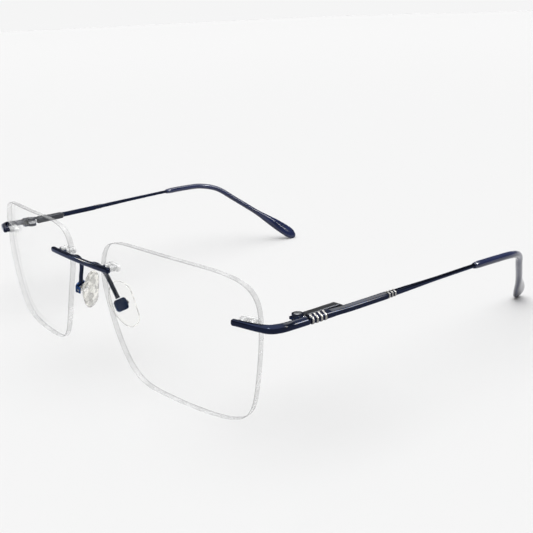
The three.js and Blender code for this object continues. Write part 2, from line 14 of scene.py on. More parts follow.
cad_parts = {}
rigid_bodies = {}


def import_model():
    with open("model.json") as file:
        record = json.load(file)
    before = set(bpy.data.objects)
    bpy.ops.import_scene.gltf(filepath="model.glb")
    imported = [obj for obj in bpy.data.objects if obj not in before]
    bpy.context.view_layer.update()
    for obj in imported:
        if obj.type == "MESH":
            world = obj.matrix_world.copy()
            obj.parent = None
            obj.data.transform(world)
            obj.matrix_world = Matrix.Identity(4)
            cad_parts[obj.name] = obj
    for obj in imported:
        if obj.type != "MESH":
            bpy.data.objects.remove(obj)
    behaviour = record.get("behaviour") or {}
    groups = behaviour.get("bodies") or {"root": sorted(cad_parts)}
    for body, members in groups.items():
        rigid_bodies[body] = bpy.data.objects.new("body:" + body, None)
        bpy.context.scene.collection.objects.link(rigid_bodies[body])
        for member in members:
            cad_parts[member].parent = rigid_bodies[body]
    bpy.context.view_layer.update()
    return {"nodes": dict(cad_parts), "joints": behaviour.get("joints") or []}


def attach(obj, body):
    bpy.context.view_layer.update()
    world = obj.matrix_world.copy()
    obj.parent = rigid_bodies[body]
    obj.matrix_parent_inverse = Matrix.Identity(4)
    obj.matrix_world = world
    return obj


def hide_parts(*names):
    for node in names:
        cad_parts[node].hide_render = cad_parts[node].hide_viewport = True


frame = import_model()

MM = 0.001
FIT_GAP = 0.05
SHARP_ANGLE = math.radians(32)

# Lenses: the outline's control points are (outward, up) from the lens centre.
LENS_CENTRE = (37.35, 8.1, 20.55)
LENS_WRAP = math.radians(6.9)
LENS_TILT = math.radians(1.4)
LENS_FRONT_RADIUS = 130
LENS_THICKNESS = 1.6
LENS_BEVEL = 0.15
LENS_OUTLINE = [
    (-27.8, 3.2), (-29.3, 8.3), (-27.2, 17.9), (-13.0, 18.9), (9.4, 18.4), (26.9, 16.8),
    (29.4, 7.6), (26.8, -9.7), (23.2, -20.3), (9.4, -20.8), (-7.9, -20.2), (-20.0, -20.0),
]

# Pins in clear double sleeves, through each lens at two mounts.
NASAL_MOUNT = (-25.2, 10.6)
TEMPORAL_MOUNT = (24.9, 6.8)
PIN_SPACING = 2.7
PIN_RADIUS = 0.45
PIN_ROOT = 1.3
SLEEVE_RADIUS = 0.8
PLATE_LENGTH = 5.6
PLATE_HEIGHT = 2.0
PLATE_DEPTH = 1.1
PLATE_EDGE = 0.3

# Metal bars.
BAR_HEIGHT = 2.1
BAR_DEPTH = 1.4
BAR_CORNER = 0.35
TOP_DROP = 0.75
SLIM_HEIGHT = 1.55
SLIM_DEPTH = 1.3
SLIM_CORNER = 0.5
BRIDGE_HALF_LENGTH = 15.7
BRIDGE_Z = 31.35
BRIDGE_END_Y = 6.3
BRIDGE_MID_Y = 5.8

# Hinge.
HINGE = (67.45, 24.3, 27.0)
KNUCKLE_RADIUS = 1.4
KNUCKLE_TOP = 1.4
EYE_RADIUS = KNUCKLE_RADIUS - 0.15
EYE_HALF_HEIGHT = 0.6
LEAF_REACH = 1.85
LEAF_LENGTH = 2.6
SCREW_RADIUS = 0.5
SCREW_HEAD_RADIUS = 0.95
SCREW_SEAT_DEPTH = 0.45

# Lug, from its rounded end on the lens to just short of the temple bar.
BAR_FRONT = 1.75
LUG_END_GAP = 0.3
LUG_ROUTE = [
    (59.5, 11.3, 27.85), (62.3, 12.15, 27.75), (66.2, 13.5, 27.6), (68.7, 14.8, 27.55),
    (69.65, 17.2, 27.4), (69.68, 21, 27.15), (69.75, HINGE[1] + BAR_FRONT - LUG_END_GAP, HINGE[2]),
]
LUG_SWELL_START = 0.1
LUG_SWELL_END = 0.6

# Temples, in a frame at the hinge whose +Y runs back along the temple.
TEMPLE_SPLAY = math.radians(2.9)
BAR_OFFSET = 2.25
BAR_EDGE = 0.08
SLENDER_START = 6.9
SLENDER_END = 10.5
SLENDER_HEIGHT = 1.85
FLAT_END = 26.7
FLAT_END_EDGE = 0.12
NECK_HEIGHT = 1.5
NECK_DEPTH = 1.2
TAPER_START = 30.5
TAPER_END = 46
WIRE_START = 48
WIRE_DIAMETER = 1.15
LEVEL_START = 4
LEVEL_END = 16
FRONT_BANDS = {"count": 4, "start": 1.92, "spacing": 1.3, "width": 0.6, "wall": 0.1, "thinning": 0}
REAR_BANDS = {"count": 3, "start": 26.8, "spacing": 1.05, "width": 0.55, "wall": 0.13, "thinning": 0.015}
HOUSING_X = 0.25
HOUSING_WIDTH = 2.2
HOUSING_HEIGHT = 1.95
HOUSING_START = 2.1
HOUSING_LENGTH = 11.2
HOUSING_CORNER = 0.35
HOUSING_NOSE = 1.6
HOUSING_NARROWING = 1.5
HOUSING_BORE_RADIUS = 0.72
HOUSING_BORE_DEPTH = 9.9
SLIDE_NECK_WIDTH = 1.3
SLIDE_NECK_END = 2.0
SLIDE_SHANK_RADIUS = 0.28
SLIDE_HEAD_RADIUS = 0.6
SLIDE_HEAD_LENGTH = 1.0
SLIDE_END = 10.3

# Ear tips, in the temple's frame. The paddle's start and its widest place are shares of the tip's
# curve, and the core's end is a share of the wire's curve, which starts further forward.
TIP_ROUTE = [
    (2.25, 60.0, -0.3), (2.2, 69.6, -0.5), (1.6, 77.6, -1.1), (-0.6, 84.2, -3.1),
    (-4.6, 90.6, -8.2), (-11.4, 101, -17.1), (-18.4, 111.7, -26.5),
]
TIP_DIAMETER = 2.05
TIP_NOSE_DIAMETER = WIRE_DIAMETER + 0.3
TIP_NOSE_LENGTH = 2.4
PADDLE_WIDTH = 5.0
PADDLE_THICKNESS = 2.2
PADDLE_START = 0.76
PADDLE_WIDEST = 0.955
PADDLE_TWIST = math.radians(37)
CORE_END = 0.9
CORE_END_GAP = 0.004

# Nose pads.
PAD_CENTRE = (8.9, 13.55, 18.7)
PAD_SPLAY = math.radians(23.5)
PAD_FLARE = math.radians(22.5)
PAD_TILT = math.radians(7.5)
PAD_OUTLINE = [
    (2.9, -6.0), (2.9, -1.7), (3.7, 3.6), (1.7, 6.4), (-0.9, 7.4), (-3.6, 3.2),
    (-3.8, -0.3), (-2.2, -5.7), (0.0, -7.4),
]
PAD_THICKNESS = 2.1
PAD_EDGE_FULLNESS = 0.62
PAD_MOUNT = (-1.0, 0.3)
BOX_WIDTH = 3.5
BOX_HEIGHT = 3.4
BOX_DEPTH = 1.7
BOX_CORNER = 0.8
BOX_START = 1.9
BOX_WALL = 0.42
BOX_WALL_HEIGHT = 2.2
BOSS_WIDTH = 2.4
BOSS_RADIUS = 0.62
POST_START = 0.5
POST_HEIGHT = 0.9
PAD_SCREW_RADIUS = 0.3
PAD_SCREW_Z = 2.55
PAD_SCREW_HEAD_RADIUS = 0.6
PAD_SCREW_HEAD_HEIGHT = 0.38
ARM_RADIUS = 0.6
ARM_FOOT_LENGTH = 1.6
ARM_FOOT_SWELL = 0.3
ARM_END_LENGTH = 1.0
ARM_END_SWELL = 0.18
ARM_ROUTE = [
    (4.9, 6.9, 30.9), (5.1, 8.1, 30.7), (5.8, 9.4, 29.6),
    (6.9, 10.3, 27.3), (9.2, 10.9, 23.3), (10.2, 11.2, 21.3),
]

# Studio. The world's stops are (height, brightness), from level to straight up.
FLOOR_HALF_WIDTH = 6000
FLOOR_COLOUR = 0.82
FLOOR_GLOSS = 0.05
WORLD_STOPS = [(0.0, 0.914), (0.04, 0.914), (0.1, 0.25), (0.68, 0.25), (0.8, 2.2), (1.0, 2.4)]
# The camera looks along a line past the target, moved across and up to place the glasses in the frame.
CAMERA_AZIMUTH = math.radians(49.53)
CAMERA_ELEVATION = math.radians(17.55)
CAMERA_ROLL = math.radians(-2.22)
CAMERA_TARGET = (0, 40, 20)
CAMERA_DISTANCE = 246.18
CAMERA_ACROSS = 25.19
CAMERA_RISE = 1.29
FOCAL_LENGTH = 55.0
SENSOR_WIDTH = 36
WARM = (1.0, 0.84, 0.5)
WHITE = (1.0, 1.0, 1.0)
HIGHLIGHTS = [
    # place, direction of the long side, length, width, and power in watts
    ((-330, -121.5, 194), (0, 0.79, 0.62), 180, 16, 0.4),
    ((228, 318, 314), (0.88, 0, -0.48), 240, 30, 0.75),
    ((-21, 330, 332), (1, 0, 0), 70, 60, 0.085),
    ((64, 3, 400), (1, 0, 0), 50, 50, 0.5),
]

hinge_joint = next(j for j in frame["joints"] if j["name"] == "temple_fold_right")
ORIGIN = Vector(hinge_joint["pos_m"]) - Vector(HINGE) * MM
DESIGN = Matrix.Translation(ORIGIN) @ Matrix.Scale(MM, 4)


def point(x, y, z):
    return DESIGN @ Vector((x, y, z))


# --- materials ------------------------------------------------------------------------------


class Finish:
    """A node material with one Principled shader, and short helpers for its textures."""

    # Most of the noise lies between these two values.
    NOISE_LOW = 0.3
    NOISE_HIGH = 0.7

    def __init__(self, name):
        self.material = bpy.data.materials.new(name)
        self.material.use_nodes = True
        self.tree = self.material.node_tree
        self.shader = self.tree.nodes["Principled BSDF"]
        self.output = self.tree.nodes["Material Output"]

    def add(self, kind, **values):
        node = self.tree.nodes.new(kind)
        for key, value in values.items():
            setattr(node, key, value)
        return node

    def link(self, source, target):
        self.tree.links.new(source, target)

    def put(self, **values):
        for key, value in values.items():
            self.shader.inputs[key.replace("_", " ")].default_value = value

    def noise(self, scale, detail=3.0, roughness=0.5):
        """Noise over the piece's own coordinates, scale in waves per metre along X, Y and Z."""
        coordinates = self.add("ShaderNodeTexCoord")
        mapping = self.add("ShaderNodeMapping")
        mapping.inputs["Scale"].default_value = scale
        noise = self.add("ShaderNodeTexNoise")
        noise.inputs["Scale"].default_value = 1.0
        noise.inputs["Detail"].default_value = detail
        noise.inputs["Roughness"].default_value = roughness
        self.link(coordinates.outputs["Object"], mapping.inputs["Vector"])
        self.link(mapping.outputs["Vector"], noise.inputs["Vector"])
        return noise.outputs["Fac"]

    def ramp(self, value, low, high):
        node = self.add("ShaderNodeMapRange")
        node.inputs["From Min"].default_value = self.NOISE_LOW
        node.inputs["From Max"].default_value = self.NOISE_HIGH
        node.inputs["To Min"].default_value = low
        node.inputs["To Max"].default_value = high
        self.link(value, node.inputs["Value"])
        return node.outputs["Result"]

    def colours(self, value, low, high, from_low=NOISE_LOW, from_high=NOISE_HIGH):
        node = self.add("ShaderNodeValToRGB")
        node.color_ramp.elements[0].position = from_low
        node.color_ramp.elements[0].color = (*low, 1)
        node.color_ramp.elements[1].position = from_high
        node.color_ramp.elements[1].color = (*high, 1)
        self.link(value, node.inputs["Fac"])
        return node.outputs["Color"]

    def bump(self, height, strength, distance):
        node = self.add("ShaderNodeBump")
        node.inputs["Strength"].default_value = strength
        node.inputs["Distance"].default_value = distance
        self.link(height, node.inputs["Height"])
        self.link(node.outputs["Normal"], self.shader.inputs["Normal"])


def navy_metal(name, low, high, coat):
    """Dark blue metal under a thin clear lacquer, faintly brushed from front to back."""
    finish = Finish(name)
    finish.put(Metallic=1.0, Coat_Weight=coat, Coat_Roughness=0.03, Specular_Tint=(0.62, 0.66, 0.8, 1))
    cloud = finish.noise((220, 220, 220), 2.0)
    finish.link(finish.colours(cloud, low, high), finish.shader.inputs["Base Color"])
    streak = finish.noise((9000, 160, 9000), 3.0)
    finish.link(finish.ramp(streak, 0.06, 0.13), finish.shader.inputs["Roughness"])
    finish.bump(streak, 0.12, 0.00002)
    return finish.material


def satin_metal():
    """Dark grey brushed metal of the spring housing."""
    finish = Finish("satin_metal")
    finish.put(Metallic=1.0)
    streak = finish.noise((12000, 200, 12000), 4.0, 0.6)
    colour = finish.colours(streak, (0.040, 0.042, 0.050), (0.085, 0.088, 0.098))
    finish.link(colour, finish.shader.inputs["Base Color"])
    finish.link(finish.ramp(streak, 0.28, 0.42), finish.shader.inputs["Roughness"])
    finish.bump(streak, 0.25, 0.00003)
    return finish.material


def bright_metal(name, low, high, rough_low, rough_high):
    """Polished metal with fine turning marks and a little tarnish."""
    finish = Finish(name)
    finish.put(Metallic=1.0)
    cloud = finish.noise((900, 900, 900), 4.0)
    finish.link(finish.colours(cloud, low, high), finish.shader.inputs["Base Color"])
    finish.link(finish.ramp(cloud, rough_low, rough_high), finish.shader.inputs["Roughness"])
    finish.bump(finish.noise((6000, 6000, 6000), 2.0), 0.08, 0.00001)
    return finish.material


def tip_plastic():
    """Glossy deep blue plastic of the ear tips."""
    finish = Finish("tip_plastic")
    finish.put(Coat_Weight=0.25, Coat_Roughness=0.04, IOR=1.45)
    cloud = finish.noise((180, 60, 180), 3.0)
    colour = finish.colours(cloud, (0.0030, 0.0062, 0.030), (0.0060, 0.0130, 0.062))
    finish.link(colour, finish.shader.inputs["Base Color"])
    finish.link(finish.ramp(cloud, 0.1, 0.2), finish.shader.inputs["Roughness"])
    finish.bump(finish.noise((1500, 700, 1500), 2.0), 0.06, 0.00003)
    return finish.material


def see_through(finish, clear_tint, face_on, glancing, power, start=0.0, end=1.0):
    """Shows what is behind the piece, less so at a glancing angle, where its own surface takes over.

    Soft light and lamps pass straight through, so clear pieces cast almost no shadow.
    """
    weight = finish.add("ShaderNodeLayerWeight")
    weight.inputs["Blend"].default_value = 0.5
    raised = finish.add("ShaderNodeMath", operation="POWER")
    raised.inputs[1].default_value = power
    share = finish.add("ShaderNodeMapRange")
    share.inputs["From Min"].default_value = start
    share.inputs["From Max"].default_value = end
    share.inputs["To Min"].default_value = face_on
    share.inputs["To Max"].default_value = glancing
    path = finish.add("ShaderNodeLightPath")
    passing = finish.add("ShaderNodeMath", operation="MAXIMUM")
    seen = finish.add("ShaderNodeMath", operation="SUBTRACT", use_clamp=True)
    clear = finish.add("ShaderNodeBsdfTransparent")
    clear.inputs["Color"].default_value = (*clear_tint, 1)
    mix = finish.add("ShaderNodeMixShader")
    finish.link(weight.outputs["Facing"], raised.inputs[0])
    finish.link(raised.outputs["Value"], share.inputs["Value"])
    finish.link(path.outputs["Is Shadow Ray"], passing.inputs[0])
    finish.link(path.outputs["Is Diffuse Ray"], passing.inputs[1])
    finish.link(share.outputs["Result"], seen.inputs[0])
    finish.link(passing.outputs["Value"], seen.inputs[1])
    finish.link(seen.outputs["Value"], mix.inputs["Fac"])
    finish.link(clear.outputs["BSDF"], mix.inputs[1])
    finish.link(finish.shader.outputs["BSDF"], mix.inputs[2])
    finish.link(mix.outputs["Shader"], finish.output.inputs["Surface"])
    return weight


def lens_face():
    """The lens's polished faces: clear, and mirror-like at a glancing angle."""
    finish = Finish("lens_face")
    finish.put(Metallic=1.0)
    cloud = finish.noise((60, 60, 60), 2.0)
    colour = finish.colours(cloud, (0.86, 0.88, 0.88), (0.92, 0.93, 0.93))
    finish.link(colour, finish.shader.inputs["Base Color"])
    finish.link(finish.ramp(cloud, 0.01, 0.03), finish.shader.inputs["Roughness"])
    see_through(finish, (0.992, 0.992, 0.992), 0.001, 0.92, 7.5)
    return finish.material


def lens_edge(name, low, high, face_on, glancing):
    """The lens's ground edge or its bevels: a cloudy, glossy band. The edge is grey-white with lighter
    patches of painted highlight; the bevels are dark, painted shade drawn as thin outlines.
    """
    finish = Finish(name)
    finish.put(IOR=1.5, Coat_Weight=0.5, Coat_Roughness=0.03)
    cloud = finish.noise((260, 260, 260), 3.0)
    finish.link(finish.colours(cloud, low, high), finish.shader.inputs["Base Color"])
    finish.link(finish.ramp(cloud, 0.12, 0.3), finish.shader.inputs["Roughness"])
    finish.bump(finish.noise((2500, 2500, 2500), 2.0), 0.08, 0.00005)
    see_through(finish, (0.985, 0.985, 0.985), face_on, glancing, 2.0)
    return finish.material


def sleeve_plastic():
    """Clear hard plastic of the sleeves in the lens holes: bright, with sharp highlights."""
    finish = Finish("sleeve_plastic")
    finish.put(IOR=1.49, Coat_Weight=1.0, Coat_Roughness=0.03)
    cloud = finish.noise((700, 700, 700), 2.0)
    colour = finish.colours(cloud, (0.62, 0.625, 0.63), (0.95, 0.95, 0.94))
    finish.link(colour, finish.shader.inputs["Base Color"])
    finish.link(finish.ramp(cloud, 0.08, 0.18), finish.shader.inputs["Roughness"])
    finish.bump(finish.noise((1200, 1200, 1200), 2.0), 0.2, 0.0001)
    see_through(finish, (0.97, 0.97, 0.97), 0.5, 0.9, 1.5)
    return finish.material


def pad_plastic():
    """Clear soft plastic of the nose pads: clear face on, wavy and milky aslant, painted darker and lighter
    along its ripples, with a painted dark rim.
    """
    finish = Finish("pad_plastic")
    finish.put(IOR=1.45, Coat_Weight=1.0, Coat_Roughness=0.05)
    wave = finish.noise((520, 520, 620), 1.5)
    # Milky colour that runs from dark to light along the ripples: painted shade and highlight of the ripples
    # on clear plastic.
    milky_and_painted_ripples = finish.colours(wave, (0.30, 0.295, 0.27), (0.95, 0.93, 0.86), 0.40, 0.56)
    finish.link(finish.ramp(wave, 0.06, 0.16), finish.shader.inputs["Roughness"])
    finish.bump(wave, 0.8, 0.0010)
    ripple = finish.shader.inputs["Normal"].links[0].from_socket
    finish.link(ripple, finish.shader.inputs["Coat Normal"])
    weight = see_through(finish, (0.99, 0.99, 0.985), 0.0, 0.85, 1.0, 0.2, 0.6)
    # Painted dark rim: the colour is darkened where the surface turns away from view, as painted shade at
    # the pad's edge.
    painted_dark_rim = finish.colours(weight.outputs["Facing"], (1, 1, 1), (0.22, 0.22, 0.21), 0.66, 0.8)
    shade = finish.add("ShaderNodeMix", data_type="RGBA", blend_type="MULTIPLY")
    shade.inputs["Factor"].default_value = 1.0
    finish.link(milky_and_painted_ripples, shade.inputs["A"])
    finish.link(painted_dark_rim, shade.inputs["B"])
    finish.link(shade.outputs["Result"], finish.shader.inputs["Base Color"])
    return finish.material


MATERIALS = {
    "navy": navy_metal("navy_metal", (0.0032, 0.0062, 0.021), (0.0055, 0.0108, 0.036), 0.21),
    "blue": navy_metal("blue_metal", (0.012, 0.038, 0.115), (0.021, 0.062, 0.195), 0.06),
    "satin": satin_metal(),
    "silver": bright_metal("silver_metal", (0.20, 0.198, 0.19), (0.34, 0.335, 0.32), 0.16, 0.28),
    "steel": bright_metal("steel_metal", (0.36, 0.37, 0.39), (0.52, 0.53, 0.55), 0.2, 0.3),
    "tip": tip_plastic(),
    "lens": lens_face(),
    # Edge band: frosted grey-white, its lighter patches painted highlights.
    "lens_edge": lens_edge("lens_edge", (0.38, 0.385, 0.39), (0.82, 0.825, 0.83), 0.32, 0.65),
    # Bevels: dark grey, painted shade drawn as thin dark outlines along the lens's edge.
    "lens_bevel_painted_dark": lens_edge("lens_bevel_painted_dark", (0.07, 0.075, 0.08), (0.26, 0.265, 0.27), 0.45, 0.9),
    "sleeve": sleeve_plastic(),
    "pad": pad_plastic(),
}

# --- curves and sections --------------------------------------------------------------------


def smooth_curve(route):
    """A centripetal Catmull-Rom curve through the route's points, as a function of a share 0 to 1."""
    points = [Vector(p) for p in route]
    points = [2 * points[0] - points[1], *points, 2 * points[-1] - points[-2]]

    def at(share):
        place = min(max(share, 0.0), 1.0) * (len(points) - 3)
        index = min(int(place), len(points) - 4)
        t = place - index
        p = points[index:index + 4]
        gaps = [max((p[i + 1] - p[i]).length ** 0.5, 1e-4) for i in range(3)]
        leave = ((p[1] - p[0]) / gaps[0] - (p[2] - p[0]) / (gaps[0] + gaps[1])
                 + (p[2] - p[1]) / gaps[1]) * gaps[1]
        arrive = ((p[2] - p[1]) / gaps[1] - (p[3] - p[1]) / (gaps[1] + gaps[2])
                  + (p[3] - p[2]) / gaps[2]) * gaps[1]
        cubic = 2 * p[1] - 2 * p[2] + leave + arrive
        square = -3 * p[1] + 3 * p[2] - 2 * leave - arrive
        return ((cubic * t + square) * t + leave) * t + p[1]

    return at


def curve_length(curve):
    marks = [curve(share) for share in even(200)]
    return sum((b - a).length for a, b in zip(marks, marks[1:]))


def tangent(curve, share):
    step = 1e-4
    return (curve(min(share + step, 1)) - curve(max(share - step, 0))).normalized()


def closed_spline(control, steps):
    """The outline of a closed uniform cubic B-spline, which runs near its control points."""
    outline = []
    count = len(control)
    for i in range(count):
        for k in range(steps):
            t = k / steps
            weights = (
                (1 - t) ** 3, 3 * t ** 3 - 6 * t ** 2 + 4, -3 * t ** 3 + 3 * t ** 2 + 3 * t + 1, t ** 3,
            )
            near = [control[(i + j - 1) % count] for j in range(4)]
            outline.append(tuple(sum(w * n[axis] for w, n in zip(weights, near)) / 6 for axis in (0, 1)))
    return outline


def rounded_rectangle(width, height, corner, steps=6):
    radius = min(corner, width / 2, height / 2)
    points = []
    for quarter in range(4):
        side_x = 1 if quarter in (0, 3) else -1
        side_y = 1 if quarter < 2 else -1
        for step in range(steps + 1):
            angle = math.radians(90 * (quarter + step / steps))
            points.append((
                side_x * (width / 2 - radius) + radius * math.cos(angle),
                side_y * (height / 2 - radius) + radius * math.sin(angle),
            ))
    return points


def ellipse(width, height, count=32):
    angles = [2 * math.pi * i / count for i in range(count)]
    return [(width / 2 * math.cos(a), height / 2 * math.sin(a)) for a in angles]


def lerp(a, b, share):
    return a + (b - a) * share


def smoothstep(value, low, high):
    share = min(max((value - low) / (high - low), 0), 1)
    return share * share * (3 - 2 * share)


def even(count, low=0.0, high=1.0):
    return [low + (high - low) * i / count for i in range(count + 1)]


# --- meshes ---------------------------------------------------------------------------------


def skin(rings):
    """Points and faces of a closed skin over rings of points, with a flat cap at each end."""
    points = [p for ring in rings for p in ring]
    count = len(rings[0])
    faces = []
    for r in range(len(rings) - 1):
        for i in range(count):
            a = r * count + i
            b = r * count + (i + 1) % count
            faces.append((a, b, b + count, a + count))
    faces.append(tuple(reversed(range(count))))
    faces.append(tuple(range(len(points) - count, len(points))))
    return points, faces


def solid(rings, matrix):
    """A bmesh of a skinned solid with its faces pointing out."""
    points, faces = skin(rings)
    made = bmesh.new()
    verts = [made.verts.new(matrix @ Vector(p)) for p in points]
    for face in faces:
        made.faces.new([verts[i] for i in face])
    bmesh.ops.remove_doubles(made, verts=made.verts, dist=1e-5)
    bmesh.ops.recalc_face_normals(made, faces=made.faces)
    return made


def sweep(curve, shares, section, matrix, upright=Vector((0, 0, 1))):
    """A solid along a curve. section(share) gives its points as (side, up)."""
    rings = []
    for share in shares:
        along = tangent(curve, share)
        side = along.cross(upright).normalized()
        up = side.cross(along)
        centre = curve(share)
        rings.append([centre + side * x + up * y for x, y in section(share)])
    return solid(rings, matrix)


def turned(profile, matrix, count=40):
    """A turned solid about +Y. profile is a list of (radius, y), from one end to the other."""
    rings = []
    for radius, y in profile:
        rings.append([(x, y, z) for x, z in ellipse(2 * radius, 2 * radius, count)])
    return solid(rings, matrix)


def rod(radius, low, high, matrix, edge=0.08, count=40):
    """A rod about +Y with rounded ends."""
    return turned([
        (radius - edge, low), (radius - 0.3 * edge, low + 0.3 * edge), (radius, low + edge),
        (radius, high - edge), (radius - 0.3 * edge, high - 0.3 * edge), (radius - edge, high),
    ], matrix, count)


def block(section, low, high, matrix, edge=0.08):
    """A block along +Y whose ends are softened. section(shrink) gives its (across, up) points."""
    places = [(edge, low), (0.3 * edge, low + 0.3 * edge), (0, low + edge),
              (0, high - edge), (0.3 * edge, high - 0.3 * edge), (edge, high)]
    rings = [[(x, y, z) for x, z in section(shrink)] for shrink, y in places]
    return solid(rings, matrix)


def to_object(name, made):
    mesh = bpy.data.meshes.new(name)
    made.to_mesh(mesh)
    made.free()
    piece = bpy.data.objects.new(name, mesh)
    bpy.context.scene.collection.objects.link(piece)
    return piece


def combine(name, first, others, operation):
    """The first solid joined with the others, or cut by them, as one closed object."""
    body = to_object(name, first)
    tools = [to_object(f"{name}_tool_{i}", other) for i, other in enumerate(others)]
    for tool in tools:
        modifier = body.modifiers.new("combine", "BOOLEAN")
        modifier.operation = operation
        modifier.solver = "EXACT"
        modifier.object = tool
    graph = bpy.context.evaluated_depsgraph_get()
    mesh = bpy.data.meshes.new_from_object(body.evaluated_get(graph))
    body.modifiers.clear()
    old = body.data
    body.data = mesh
    bpy.data.meshes.remove(old)
    for tool in tools:
        data = tool.data
        bpy.data.objects.remove(tool)
        bpy.data.meshes.remove(data)
    return body


def from_object(piece):
    """The mesh of an object as a bmesh, with the object deleted."""
    made = bmesh.new()
    made.from_mesh(piece.data)
    data = piece.data
    bpy.data.objects.remove(piece)
    bpy.data.meshes.remove(data)
    return made


def joined(*solids):
    return from_object(combine("joined", solids[0], solids[1:], "UNION"))


def cut(body, *tools):
    return from_object(combine("cut", body, tools, "DIFFERENCE"))


def mirror_image(made):
    copy = made.copy()
    bmesh.ops.scale(copy, vec=(-1, 1, 1), verts=copy.verts)
    bmesh.ops.reverse_faces(copy, faces=copy.faces)
    return copy


def finish_piece(name, made, body, nodes, finishes):
    """Places a finished solid: smooth shading, materials, its body and the CAD nodes it stands for."""
    piece = to_object(name, made)
    for finish in finishes:
        piece.data.materials.append(MATERIALS[finish])
    piece.data.shade_smooth()
    piece.data.set_sharp_from_angle(angle=SHARP_ANGLE)
    even_out = piece.modifiers.new("even_normals", "WEIGHTED_NORMAL")
    even_out.keep_sharp = True
    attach(piece, body)
    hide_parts(*nodes)


def both_sides(name, made, body, node, finishes):
    """One piece for each side. body and node are names without their side, or a whole body's name."""
    for side, shape in (("left", mirror_image(made)), ("right", made)):
        whole = body if body == "frame" else f"{body}_{side}"
        finish_piece(f"{name}_{side}", shape, whole, [f"{node}_{side}"], finishes)


# --- lenses and their mounts ----------------------------------------------------------------

LENS_FRAME = (
    Matrix.Translation(LENS_CENTRE) @ Matrix.Rotation(LENS_WRAP, 4, "Z") @ Matrix.Rotation(LENS_TILT, 4, "X")
)


def lens_sag(u, v):
    return (u * u + v * v) / (2 * LENS_FRONT_RADIUS)


def mount_frame(mount):
    """Frame on the lens's front face: +X outward along it, +Y through the lens, +Z up."""
    u, v = mount
    through = Vector((-u, LENS_FRONT_RADIUS, -v)).normalized()
    outward = Vector((LENS_FRONT_RADIUS, u, 0)).normalized()
    up = outward.cross(through)
    outward = through.cross(up)
    axes = Matrix((outward, through, up)).transposed().to_4x4()
    return LENS_FRAME @ Matrix.Translation((u, lens_sag(u, v), v)) @ axes


def at_pins(mount):
    """The frames of a mount's two pins."""
    return [
        DESIGN @ mount_frame(mount) @ Matrix.Translation((side * PIN_SPACING / 2, 0, 0))
        for side in (-1, 1)
    ]


def lens():
    outline = closed_spline(LENS_OUTLINE, 16)

    def ring(share, inset, depth):
        points = []
        for x, z in outline:
            shrink = share * (1 - inset / math.hypot(x, z))
            u, v = x * shrink, z * shrink
            points.append((u, lens_sag(u, v) + depth, v))
        return points

    shares = (0.04, 0.16, 0.3, 0.45, 0.6, 0.74, 0.86, 0.95)
    front = [ring(share, 0, 0) for share in shares]
    back = [ring(share, 0, LENS_THICKNESS) for share in reversed(shares)]
    edge = [
        ring(1, LENS_BEVEL, 0), ring(1, 0, LENS_BEVEL),
        ring(1, 0, LENS_THICKNESS - LENS_BEVEL), ring(1, LENS_BEVEL, LENS_THICKNESS),
    ]
    blank = solid([*front, *edge, *back], DESIGN @ LENS_FRAME)
    radius = SLEEVE_RADIUS + FIT_GAP
    drills = [
        rod(radius, -1, LENS_THICKNESS + 1, pin)
        for mount in (NASAL_MOUNT, TEMPORAL_MOUNT)
        for pin in at_pins(mount)
    ]
    made = cut(blank, *drills)
    facing = (LENS_FRAME.to_3x3() @ Vector((0, 1, 0))).normalized()
    # The polished faces lie across the lens's axis, the ground edge along it and the bevels between.
    for face in made.faces:
        slant = abs(face.normal.dot(facing))
        face.material_index = 0 if slant > 0.9 else 2 if slant > 0.4 else 1
    return made


def double_sleeve(mount):
    here = DESIGN @ mount_frame(mount)
    back = LENS_THICKNESS + 2 * FIT_GAP

    def section(shrink):
        return rounded_rectangle(PLATE_LENGTH - 2 * shrink, PLATE_HEIGHT - 2 * shrink, PLATE_HEIGHT / 2, 10)

    plate = block(section, back, back + PLATE_DEPTH, here, PLATE_EDGE)
    tubes = [rod(SLEEVE_RADIUS, FIT_GAP, back + PLATE_DEPTH / 2, pin) for pin in at_pins(mount)]
    bores = [rod(PIN_RADIUS + FIT_GAP, -1, back + PLATE_DEPTH + 1, pin) for pin in at_pins(mount)]
    return cut(joined(plate, *tubes), *bores)


def pins(mount):
    end = LENS_THICKNESS + PLATE_DEPTH
    return [rod(PIN_RADIUS, -PIN_ROOT, end, pin, 0.15, 24) for pin in at_pins(mount)]


# --- bridge, lugs and hinge -----------------------------------------------------------------


def end_scale(distance):
    """How far a bar's section has grown at a distance from its rounded end."""
    reach = SLIM_HEIGHT / 2
    return math.sqrt(max(1 - (1 - min(distance / reach, 1)) ** 2, 0.02))


def slope_top(section, depth, height, drop):
    """Lowers the top of a section towards its outer side, so the bar's top face slopes outwards."""
    return [
        (across, up - drop * min(max(2 * up / height, 0), 1) * (across / depth + 0.5))
        for across, up in section
    ]


def bar_section(swell, scale):
    depth = lerp(SLIM_DEPTH, BAR_DEPTH, swell) * scale
    height = lerp(SLIM_HEIGHT, BAR_HEIGHT, swell) * scale
    corner = lerp(SLIM_CORNER, BAR_CORNER, swell) * scale
    return slope_top(rounded_rectangle(depth, height, corner), depth, height, TOP_DROP * swell * scale)


def end_steps(length):
    """Shares of a bar's length at which its rounded end has rings."""
    reach = SLIM_HEIGHT / 2
    return [reach * (1 - math.cos(math.radians(a))) / length for a in (0, 12, 24, 36, 48, 60, 72, 84, 90)]


def bridge():
    def curve(share):
        x = lerp(-BRIDGE_HALF_LENGTH, BRIDGE_HALF_LENGTH, share)
        bow = 4 * share * (1 - share)
        return Vector((x, lerp(BRIDGE_END_Y, BRIDGE_MID_Y, bow), BRIDGE_Z))

    length = curve_length(curve)
    ends = end_steps(length)
    shares = [*ends, *even(30, 0.06, 0.94), *[1 - share for share in reversed(ends)]]
    bar = sweep(
        curve, shares, lambda share: bar_section(0, end_scale(min(share, 1 - share) * length)), DESIGN
    )
    right = pins(NASAL_MOUNT)
    left = [mirror_image(pin) for pin in right]
    return joined(bar, *right, *left)


